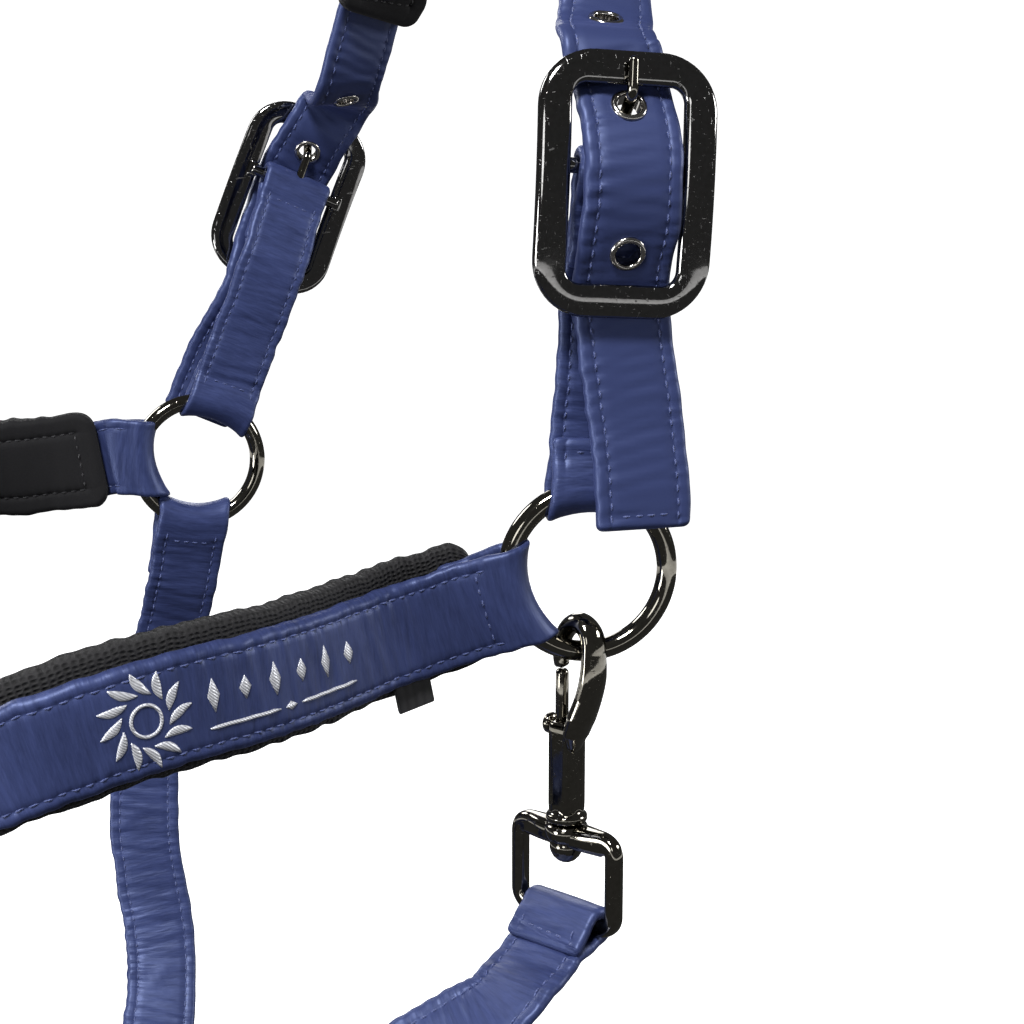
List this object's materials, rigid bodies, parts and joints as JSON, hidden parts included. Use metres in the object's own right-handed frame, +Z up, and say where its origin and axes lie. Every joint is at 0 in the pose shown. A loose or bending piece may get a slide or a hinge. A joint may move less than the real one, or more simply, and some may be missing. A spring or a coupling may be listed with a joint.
{
  "type": "horse head collar",
  "caption": "Padded satin stable head collar for a full-size horse, with crown buckles, round rings and a swivel bolt snap at the throat",
  "frame": {"origin": "the poll rest: middle of the crown pad's underside, where the head collar hangs on the head", "axes": "+Z up along the head collar as worn, nose to -X, near side to -Y, far side to +Y"},
  "size_m": [0.3059, 0.2604, 0.4329],
  "materials": {
    "satin": "navy satin with a soft sheen",
    "pad": "black air mesh and lining over foam",
    "gunmetal": "polished black nickel",
    "spring": "bare spring steel",
    "tab": "black woven tape"
  },
  "bodies": {
    "halter": {"crown_strap": "satin", "crown_pad": "pad", "near_eyelets": "gunmetal", "far_eyelets": "gunmetal", "near_buckle_frame": "gunmetal", "far_buckle_frame": "gunmetal", "near_buckle_strap": "satin", "far_buckle_strap": "satin", "near_cheek_strap": "satin", "far_cheek_strap": "satin", "near_cheek_pad": "pad", "far_cheek_pad": "pad", "size_tab": "tab", "noseband_strap": "satin", "noseband_pad": "pad", "near_chin_strap": "satin", "far_chin_strap": "satin", "jowl_strap": "satin", "throat_strap": "satin"},
    "near_throat_ring": {"near_throat_ring": "gunmetal"},
    "far_throat_ring": {"far_throat_ring": "gunmetal"},
    "near_nose_ring": {"near_nose_ring": "gunmetal"},
    "far_nose_ring": {"far_nose_ring": "gunmetal"},
    "chin_ring": {"chin_ring": "gunmetal"},
    "near_tongue": {"near_buckle_tongue": "gunmetal"},
    "far_tongue": {"far_buckle_tongue": "gunmetal"},
    "eye": {"snap_eye": "gunmetal", "throat_strap_end": "satin"},
    "hook": {"snap_hook": "gunmetal", "snap_rivet": "gunmetal", "snap_spring": "spring"},
    "bolt": {"snap_bolt": "gunmetal"}
  },
  "joints": [
    {"name": "near_throat_ring_turn", "type": "hinge", "parent": "halter", "child": "near_throat_ring", "pos_m": [-0.01, -0.095, -0.2], "axis": [-0.2251, -0.9743, 0], "continuous": true},
    {"name": "far_throat_ring_turn", "type": "hinge", "parent": "halter", "child": "far_throat_ring", "pos_m": [-0.06, 0.115, -0.195], "axis": [-0.045, -0.999, 0], "continuous": true},
    {"name": "near_nose_ring_turn", "type": "hinge", "parent": "halter", "child": "near_nose_ring", "pos_m": [-0.206, -0.095, -0.239], "axis": [-0.1, -0.995, 0], "continuous": true},
    {"name": "far_nose_ring_turn", "type": "hinge", "parent": "halter", "child": "far_nose_ring", "pos_m": [-0.245, 0.095, -0.23], "axis": [0.1, -0.995, 0], "continuous": true},
    {"name": "chin_ring_turn", "type": "hinge", "parent": "halter", "child": "chin_ring", "pos_m": [-0.205, 0, -0.335], "axis": [0.259, 0, 0.9659], "continuous": true},
    {"name": "near_tongue_lift", "type": "hinge", "parent": "halter", "child": "near_tongue", "pos_m": [-0.00564, -0.10433, -0.09552], "axis": [0.9731, -0.2262, -0.0441], "range_deg": [0, 2]},
    {"name": "far_tongue_lift", "type": "hinge", "parent": "halter", "child": "far_tongue", "pos_m": [-0.0193, 0.12144, -0.09683], "axis": [-0.9226, 0.0528, 0.3822], "range_deg": [0, 2]},
    {"name": "snap_swing", "type": "hinge", "parent": "halter", "child": "eye", "pos_m": [-0.01185, -0.09457, -0.22167], "axis": [0.9706, -0.2242, -0.0872], "range_deg": [-8, 8], "stiffness_Nm_per_rad": 0.3},
    {"name": "snap_swivel", "type": "hinge", "parent": "eye", "child": "hook", "pos_m": [-0.0136, -0.09043, -0.27307], "axis": [0, 0, 1], "range_deg": [-4, 4]},
    {"name": "snap_bolt_slide", "type": "slide", "parent": "hook", "child": "bolt", "axis": [0, 0, -1], "range_m": [0, 0.009], "stiffness_N_per_m": 250, "springref_m": -0.003, "deforming": ["snap_spring"]}
  ]
}
